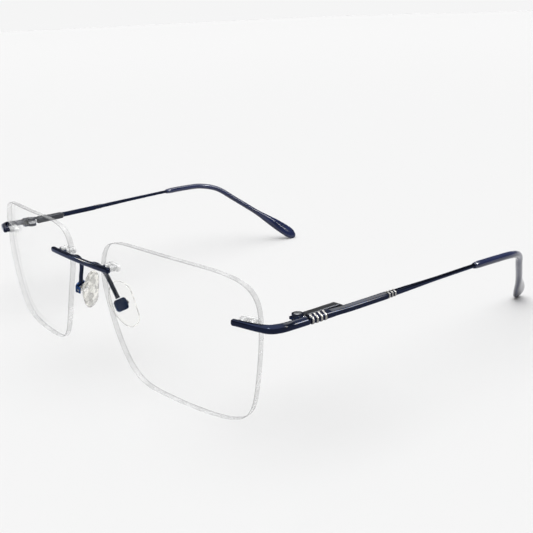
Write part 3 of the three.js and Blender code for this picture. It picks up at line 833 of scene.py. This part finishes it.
def lug():
    curve = smooth_curve(LUG_ROUTE)
    length = curve_length(curve)
    shares = [*end_steps(length), *even(56, 0.07, 1)]

    def section(share):
        swell = smoothstep(share, LUG_SWELL_START, LUG_SWELL_END)
        close = min(1, 0.85 + 0.15 * (1 - share) * length / 0.12)
        return bar_section(swell, end_scale(share * length) * close)

    bar = sweep(curve, shares, section, DESIGN)
    x, y, z = HINGE
    eye_gap = EYE_HALF_HEIGHT + FIT_GAP
    upright = Matrix.Translation((x, y, z)) @ Matrix.Rotation(math.radians(90), 4, "X")
    knuckles = []
    for low, high in ((eye_gap, KNUCKLE_TOP), (-KNUCKLE_TOP, -eye_gap)):
        middle = z + (low + high) / 2
        leaf_frame = DESIGN @ Matrix.Translation((x + LEAF_REACH / 2, 0, middle))
        leaf = block(
            lambda shrink: rounded_rectangle(LEAF_REACH - 2 * shrink, high - low - 2 * shrink, 0.12, 3),
            y - LEAF_LENGTH, y, leaf_frame, 0.06,
        )
        barrel = rod(KNUCKLE_RADIUS, low, high, DESIGN @ upright, 0.1)
        knuckles += [leaf, barrel]
    bore = rod(SCREW_RADIUS + FIT_GAP, -3, 3, DESIGN @ upright)
    seat = rod(SCREW_HEAD_RADIUS + FIT_GAP, KNUCKLE_TOP - SCREW_SEAT_DEPTH, 3, DESIGN @ upright)
    return cut(joined(bar, *knuckles, *pins(TEMPORAL_MOUNT)), bore, seat)


def slotted_head(frame_matrix, low, high, radius, slot_width, slot_depth):
    """A low screw head about +Y with a straight slot across its top."""
    head = turned([
        (radius - 0.05, low), (radius, low + 0.05), (radius, high - 0.14), (radius - 0.05, high - 0.05),
        (radius - 0.16, high), (radius * 0.3, high + 0.02),
    ], frame_matrix)
    slot_frame = frame_matrix @ Matrix.Translation((0, high, 0))
    slot = block(
        lambda shrink: rounded_rectangle(3 * radius, slot_width, 0.02, 2), -slot_depth, 1, slot_frame, 0.01,
    )
    return cut(head, slot)


def hinge_screw():
    upright = DESIGN @ Matrix.Translation(HINGE) @ Matrix.Rotation(math.radians(90), 4, "X")
    base = KNUCKLE_TOP - SCREW_SEAT_DEPTH + FIT_GAP
    head = slotted_head(
        upright, base, KNUCKLE_TOP + 0.1, SCREW_HEAD_RADIUS, slot_width=0.26, slot_depth=0.22,
    )
    shank = rod(SCREW_RADIUS, -KNUCKLE_TOP, base + 0.1, upright)
    return joined(head, shank)


# --- temples, in the temple's own frame -----------------------------------------------------

TEMPLE_FRAME = Matrix.Translation(HINGE) @ Matrix.Rotation(-TEMPLE_SPLAY, 4, "Z")
IN_TEMPLE = DESIGN @ TEMPLE_FRAME
tip_curve = smooth_curve(TIP_ROUTE)
wire_curve = smooth_curve([(BAR_OFFSET, WIRE_START, TIP_ROUTE[0][2]), *TIP_ROUTE])
TIP_LENGTH = curve_length(tip_curve)


def temple_level(y):
    return TIP_ROUTE[0][2] * smoothstep(y, LEVEL_START, LEVEL_END)


def temple_section(y):
    """Depth, height and corner of the temple at a distance along it."""
    if y < FLAT_END:
        share = smoothstep(y, SLENDER_START, SLENDER_END)
        return BAR_DEPTH, lerp(BAR_HEIGHT, SLENDER_HEIGHT, share), BAR_CORNER
    straight = min(max((y - TAPER_START) / (TAPER_END - TAPER_START), 0), 1)
    share = 0.5 * (straight + smoothstep(y, TAPER_START, TAPER_END))
    return (
        lerp(NECK_DEPTH, WIRE_DIAMETER, share),
        lerp(NECK_HEIGHT, WIRE_DIAMETER, share),
        lerp(BAR_CORNER, WIRE_DIAMETER / 2, share),
    )


def temple_outline(y, grow):
    """Outline of the temple bar at a distance along it, grown all round."""
    depth, height, corner = temple_section(y)
    drop = TOP_DROP * (height - WIRE_DIAMETER) / (BAR_HEIGHT - WIRE_DIAMETER)
    grown = rounded_rectangle(depth + 2 * grow, height + 2 * grow, corner + grow, 8)
    return [
        (BAR_OFFSET + x, temple_level(y) + z)
        for x, z in slope_top(grown, depth, height, drop)
    ]


def temple():
    rings = []
    stations = [
        *(BAR_FRONT + step for step in (0, 0.04, 0.12)), *even(24, 2.6, FLAT_END - 0.3),
        *(FLAT_END + step for step in (-0.12, -0.04, -0.01, 0.02)), *even(8, FLAT_END + 0.3, 30),
        *even(18, TAPER_START, TAPER_END + 0.5), WIRE_START + 1,
    ]
    for y in stations:
        front_edge = BAR_EDGE - (y - BAR_FRONT)
        rear_edge = FLAT_END_EDGE - (FLAT_END - y) if y < FLAT_END else 0
        shrink = max(front_edge, rear_edge, 0)
        rings.append([(x, y, z) for x, z in temple_outline(y, -shrink)])
    bar = solid(rings, IN_TEMPLE)
    shares = even(60, 0, CORE_END)
    wire = sweep(wire_curve, shares, lambda share: ellipse(WIRE_DIAMETER, WIRE_DIAMETER, 28), IN_TEMPLE)
    return joined(bar, wire)


def band(y, width, wall):
    """A crowned silver band over the outside of the temple, open on its inner face."""
    def ring(grow, place):
        return [(x, place, z) for x, z in temple_outline(y, grow)]

    crown = [(math.sin(math.radians(a)), -math.cos(math.radians(a))) for a in range(0, 181, 20)]
    outside = [ring(FIT_GAP + wall * (0.25 + 0.75 * out), y + width * (0.5 + 0.5 * along))
               for out, along in crown]
    inside = [ring(FIT_GAP, y + width), ring(FIT_GAP, y)]
    rings = [*outside, *inside]
    points = [p for r in rings for p in r]
    count = len(rings[0])
    made = bmesh.new()
    verts = [made.verts.new(IN_TEMPLE @ Vector(p)) for p in points]
    for r in range(len(rings)):
        for i in range(count):
            a = r * count + i
            b = r * count + (i + 1) % count
            c = ((r + 1) % len(rings)) * count
            made.faces.new((verts[a], verts[b], verts[c + (i + 1) % count], verts[c + i]))
    bmesh.ops.remove_doubles(made, verts=made.verts, dist=1e-6)
    bmesh.ops.recalc_face_normals(made, faces=made.faces)
    inner_face = BAR_OFFSET - temple_section(y)[0] / 2 + FIT_GAP
    opening_frame = IN_TEMPLE @ Matrix.Translation((inner_face - 1, 0, 0))
    opening = block(lambda shrink: rounded_rectangle(2, 6, 0.01, 1), y - 1, y + 2, opening_frame, 0.01)
    return cut(made, opening)


def band_in_row(row, index):
    place = row["start"] + row["spacing"] * index
    return band(place, row["width"], row["wall"] - row["thinning"] * index)


def housing():
    def ring(y, shrink, lift=0.0):
        outline = rounded_rectangle(HOUSING_WIDTH - shrink, HOUSING_HEIGHT - shrink, HOUSING_CORNER)
        return [(HOUSING_X + x + shrink / 2 - lift, y, z) for x, z in outline]

    start = HOUSING_START
    end = start + HOUSING_LENGTH
    rings = [ring(start, 0.16, 0.08), ring(start + 0.03, 0.06, 0.03), ring(start + 0.1, 0)]
    rings += [ring(y, 0) for y in even(6, start + 0.4, end - HOUSING_NOSE - 0.1)]
    for share in (0.04, 0.15, 0.35, 0.6, 0.85, 0.96):
        rings.append(ring(end - HOUSING_NOSE * (1 - share), HOUSING_NARROWING * share ** 1.15))
    rings.append(ring(end, HOUSING_NARROWING + 0.08))
    shell = solid(rings, IN_TEMPLE)
    bore_frame = IN_TEMPLE @ Matrix.Translation((HOUSING_X, 0, 0))
    bore = rod(HOUSING_BORE_RADIUS, start - 1, start + HOUSING_BORE_DEPTH, bore_frame, 0.02)
    return cut(shell, bore)


def hinge_slide():
    upright = IN_TEMPLE @ Matrix.Rotation(math.radians(90), 4, "X")
    along = IN_TEMPLE @ Matrix.Translation((HOUSING_X, 0, 0))
    eye = rod(EYE_RADIUS, -EYE_HALF_HEIGHT, EYE_HALF_HEIGHT, upright, 0.07)
    neck = block(
        lambda shrink: rounded_rectangle(
            SLIDE_NECK_WIDTH - 2 * shrink, 2 * (EYE_HALF_HEIGHT - shrink), 0.2, 4,
        ),
        0.4, SLIDE_NECK_END, along, 0.05,
    )
    shank = rod(SLIDE_SHANK_RADIUS, SLIDE_NECK_END - 0.2, SLIDE_END, along, 0.04, 24)
    head = rod(SLIDE_HEAD_RADIUS, SLIDE_END - SLIDE_HEAD_LENGTH, SLIDE_END, along, 0.05, 24)
    hole = rod(SCREW_RADIUS + FIT_GAP, -2, 2, upright)
    return cut(joined(eye, neck, shank, head), hole)


def tip_section(share):
    nose = math.sqrt(min(share * TIP_LENGTH / TIP_NOSE_LENGTH, 1))
    start = lerp(TIP_NOSE_DIAMETER, TIP_DIAMETER, nose)
    flat = smoothstep(share, PADDLE_START, PADDLE_WIDEST)
    to_end = min((1 - share) / (1 - PADDLE_WIDEST), 1)
    close = math.sqrt(max(1 - (1 - to_end) ** 2, 0.004))
    twist = PADDLE_TWIST * flat
    thickness = lerp(start, PADDLE_THICKNESS, flat) * close
    width = lerp(start, PADDLE_WIDTH, flat) * close
    outline = ellipse(thickness, width, 40)
    return [(x * math.cos(twist) + y * math.sin(twist), y * math.cos(twist) - x * math.sin(twist))
            for x, y in outline]


def ear_tip():
    last = [1 - (1 - PADDLE_WIDEST) * (1 - math.sin(math.radians(a))) for a in range(0, 91, 9)]
    shares = [0, 0.004, 0.01, 0.018, 0.028, *even(64, 0.04, 0.945), *last]
    body = sweep(tip_curve, shares, tip_section, IN_TEMPLE)
    diameter = WIRE_DIAMETER + 2 * FIT_GAP
    core_shares = even(60, 0, CORE_END + CORE_END_GAP)
    core = sweep(wire_curve, core_shares, lambda share: ellipse(diameter, diameter, 28), IN_TEMPLE)
    return cut(body, core)


# --- nose pads --------------------------------------------------------------------------------


def pad_frame():
    up = Vector((-math.sin(PAD_FLARE), -math.sin(PAD_TILT), math.cos(PAD_FLARE))).normalized()
    rear = Vector((math.sin(PAD_SPLAY), math.cos(PAD_SPLAY), 0))
    away = rear.cross(up).normalized()
    rear = up.cross(away)
    axes = Matrix((rear, up, away)).transposed().to_4x4()
    return Matrix.Translation(PAD_CENTRE) @ axes


IN_PAD = DESIGN @ pad_frame()


def cross_frame():
    """Frame on the pad's screw whose +Y is the screw's axis."""
    x, y = PAD_MOUNT
    return IN_PAD @ Matrix.Translation((x, y, PAD_SCREW_Z)) @ Matrix.Rotation(math.radians(-90), 4, "Z")


def nose_pad():
    outline = closed_spline(PAD_OUTLINE, 8)
    half = PAD_THICKNESS / 2
    layers = []
    for angle in range(-84, 85, 12):
        a = math.radians(angle)
        layers.append((math.cos(a) ** PAD_EDGE_FULLNESS, half * math.sin(a)))
    rings = [[(x * share, y * share, z) for x, y in outline] for share, z in layers]
    pad = solid(rings, IN_PAD)
    x, y = PAD_MOUNT
    post_frame = IN_PAD @ Matrix.Translation((x, y, 0)) @ Matrix.Rotation(math.radians(90), 4, "X")
    post = block(
        lambda shrink: rounded_rectangle(BOSS_WIDTH - 2 * shrink, POST_HEIGHT - 2 * shrink, 0.25, 4),
        POST_START, PAD_SCREW_Z, post_frame, 0.05,
    )
    boss = rod(BOSS_RADIUS, -BOSS_WIDTH / 2, BOSS_WIDTH / 2, cross_frame(), 0.1, 32)
    bore = rod(PAD_SCREW_RADIUS + FIT_GAP, -BOX_WIDTH, BOX_WIDTH, cross_frame(), 0.05, 24)
    return cut(joined(pad, post, boss), bore)


def pad_box():
    """A small stamped box: a back plate with rounded corners and two shorter side walls for the screw."""
    x, y = PAD_MOUNT
    plate_frame = IN_PAD @ Matrix.Translation((x, y, 0)) @ Matrix.Rotation(math.radians(90), 4, "X")
    back = BOX_START + BOX_DEPTH
    plate = block(
        lambda shrink: rounded_rectangle(BOX_WIDTH - 2 * shrink, BOX_HEIGHT - 2 * shrink, BOX_CORNER, 6),
        back - BOX_WALL, back, plate_frame, 0.12,
    )
    walls = []
    for side in (-1, 1):
        across = x + side * (BOX_WIDTH - BOX_WALL) / 2
        wall_frame = IN_PAD @ Matrix.Translation((across, 0, BOX_START + BOX_DEPTH / 2))
        walls.append(block(
            lambda shrink: rounded_rectangle(BOX_WALL - 2 * shrink, BOX_DEPTH - 2 * shrink, 0.12, 4),
            y - BOX_WALL_HEIGHT / 2, y + BOX_WALL_HEIGHT / 2, wall_frame,
        ))
    bore = rod(PAD_SCREW_RADIUS + FIT_GAP, -BOX_WIDTH, BOX_WIDTH, cross_frame(), 0.05, 24)
    return cut(joined(plate, *walls), bore)


def pad_screw():
    reach = BOX_WIDTH / 2 + FIT_GAP
    shank = rod(PAD_SCREW_RADIUS, -reach, reach + 0.2, cross_frame(), 0.05, 24)
    head = slotted_head(
        cross_frame(), reach, reach + PAD_SCREW_HEAD_HEIGHT, PAD_SCREW_HEAD_RADIUS,
        slot_width=0.18, slot_depth=0.16,
    )
    return joined(head, shank)


def pad_arm():
    curve = smooth_curve(ARM_ROUTE)
    length = curve_length(curve)

    def section(share):
        at_bridge = 1 - min(share * length / ARM_FOOT_LENGTH, 1)
        at_box = 1 - min((1 - share) * length / ARM_END_LENGTH, 1)
        swell = 1 + ARM_FOOT_SWELL * at_bridge ** 2 + ARM_END_SWELL * at_box ** 2
        size = 2 * ARM_RADIUS * swell
        return ellipse(size, size, 32)

    return sweep(curve, even(60), section, DESIGN, Vector((1, 0, 0)))


# --- assembly -----------------------------------------------------------------------------------

finish_piece("fine_bridge_bar", bridge(), "frame", ["bridge_bar"], ["navy"])
both_sides("fine_lens", lens(), "frame", "lens", ["lens", "lens_edge", "lens_bevel_painted_dark"])
both_sides("fine_nasal_sleeve", double_sleeve(NASAL_MOUNT), "frame", "nasal_sleeve", ["sleeve"])
both_sides("fine_temporal_sleeve", double_sleeve(TEMPORAL_MOUNT), "frame", "temporal_sleeve", ["sleeve"])
both_sides("fine_end_lug", lug(), "frame", "end_lug", ["navy"])
both_sides("fine_hinge_screw", hinge_screw(), "frame", "hinge_screw", ["steel"])
both_sides("fine_pad_arm", pad_arm(), "frame", "pad_arm", ["navy"])
both_sides("fine_pad_box", pad_box(), "frame", "pad_box", ["blue"])
both_sides("fine_pad_screw", pad_screw(), "frame", "pad_screw", ["silver"])
both_sides("fine_nose_pad", nose_pad(), "pad", "nose_pad", ["pad"])
both_sides("fine_hinge_slide", hinge_slide(), "slide", "hinge_slide", ["steel"])
both_sides("fine_spring_housing", housing(), "temple", "spring_housing", ["satin"])
both_sides("fine_temple", temple(), "temple", "temple", ["navy"])
both_sides("fine_ear_tip", ear_tip(), "temple", "ear_tip", ["tip"])
for place, row in (("front", FRONT_BANDS), ("rear", REAR_BANDS)):
    for index in range(row["count"]):
        node = f"{place}_ring_{index + 1}"
        both_sides(f"fine_{node}", band_in_row(row, index), "temple", node, ["silver"])
for side in ("right", "left"):
    for node in ("slide_plug", "slide_spring"):
        kept = frame["nodes"][f"{node}_{side}"]
        kept.data.materials.clear()
        kept.data.materials.append(MATERIALS["steel"])

# --- studio ---------------------------------------------------------------------------------------


def studio_floor():
    mesh = bpy.data.meshes.new("studio_floor")
    half = FLOOR_HALF_WIDTH * MM
    corners = [(-half, -half, 0), (half, -half, 0), (half, half, 0), (-half, half, 0)]
    mesh.from_pydata(corners, [], [(0, 1, 2, 3)])
    floor = bpy.data.objects.new("studio_floor", mesh)
    bpy.context.scene.collection.objects.link(floor)
    finish = Finish("studio_floor")
    grey = (FLOOR_COLOUR, FLOOR_COLOUR, FLOOR_COLOUR, 1)
    finish.put(Base_Color=grey, Roughness=0.9, Specular_IOR_Level=0.0)
    gloss = finish.add("ShaderNodeBsdfGlossy")
    gloss.inputs["Roughness"].default_value = 0.12
    mix = finish.add("ShaderNodeMixShader")
    mix.inputs["Fac"].default_value = FLOOR_GLOSS
    finish.link(finish.shader.outputs["BSDF"], mix.inputs[1])
    finish.link(gloss.outputs["BSDF"], mix.inputs[2])
    finish.link(mix.outputs["Shader"], finish.output.inputs["Surface"])
    mesh.materials.append(finish.material)


def studio_world():
    """A soft white room: pale at the horizon, dark walls above it and a bright ceiling."""
    world = bpy.data.worlds.new("studio")
    bpy.context.scene.world = world
    world.use_nodes = True
    tree = world.node_tree
    background = tree.nodes["Background"]
    direction = tree.nodes.new("ShaderNodeTexCoord").outputs["Generated"]

    split = tree.nodes.new("ShaderNodeSeparateXYZ")
    tree.links.new(direction, split.inputs["Vector"])
    heights = tree.nodes.new("ShaderNodeValToRGB")
    ramp = heights.color_ramp
    while len(ramp.elements) < len(WORLD_STOPS):
        ramp.elements.new(0.5)
    for element, (height, level) in zip(ramp.elements, WORLD_STOPS):
        element.position = height
        element.color = (level, level, level, 1)
    tree.links.new(split.outputs["Z"], heights.inputs["Fac"])
    tree.links.new(heights.outputs["Color"], background.inputs["Color"])


def studio_camera():
    """Three-quarter view from the front right, slightly above, at the distance that fills the frame."""
    back = Vector((
        math.sin(CAMERA_AZIMUTH) * math.cos(CAMERA_ELEVATION),
        -math.cos(CAMERA_AZIMUTH) * math.cos(CAMERA_ELEVATION),
        math.sin(CAMERA_ELEVATION),
    ))
    level = Vector((math.cos(CAMERA_AZIMUTH), math.sin(CAMERA_AZIMUTH), 0))
    up = back.cross(level)
    across = math.cos(CAMERA_ROLL) * level + math.sin(CAMERA_ROLL) * up
    upward = -math.sin(CAMERA_ROLL) * level + math.cos(CAMERA_ROLL) * up
    eye = Vector(CAMERA_TARGET) + back * CAMERA_DISTANCE + across * CAMERA_ACROSS + upward * CAMERA_RISE
    data = bpy.data.cameras.new("studio_camera")
    data.sensor_width = SENSOR_WIDTH
    data.lens = FOCAL_LENGTH
    data.clip_start = 0.01
    data.clip_end = 50
    camera = bpy.data.objects.new("studio_camera", data)
    rotation = Matrix((across, upward, back)).transposed().to_4x4()
    camera.matrix_world = Matrix.Translation(point(*eye)) @ rotation
    bpy.context.scene.collection.objects.link(camera)
    bpy.context.scene.camera = camera


def studio_highlights():
    """Small lamps for the highlights on metal and plastic. They leave the floor and the lenses alone.

    Each place has a warm lamp for the blue metal, whose highlights then come out nearly white, and a
    white one for the other pieces.
    """
    blue_pieces = bpy.data.collections.new("lit_warm")
    other_pieces = bpy.data.collections.new("lit_white")
    for piece in bpy.context.scene.objects:
        if piece.type == "MESH" and not piece.name.startswith(("studio_", "fine_lens")):
            blue = piece.active_material in (MATERIALS["navy"], MATERIALS["blue"])
            (blue_pieces if blue else other_pieces).objects.link(piece)
    for number, (place, along, length, width, power) in enumerate(HIGHLIGHTS):
        location = point(*place)
        away = location.normalized()
        side = (Vector(along) - away * away.dot(along)).normalized()
        rotation = Matrix((side, away.cross(side), away)).transposed()
        for colour, receivers in ((WARM, blue_pieces), (WHITE, other_pieces)):
            data = bpy.data.lights.new(f"highlight_{number}", "AREA")
            data.shape = "RECTANGLE"
            data.size = length * MM
            data.size_y = width * MM
            data.energy = power
            data.color = colour
            lamp = bpy.data.objects.new(f"highlight_{number}", data)
            lamp.matrix_world = Matrix.Translation(location) @ rotation.to_4x4()
            bpy.context.scene.collection.objects.link(lamp)
            lamp.light_linking.receiver_collection = receivers


studio_floor()
studio_world()
studio_highlights()
studio_camera()
view_settings = bpy.context.scene.view_settings
view_settings.view_transform = "Standard"
view_settings.look = "None"
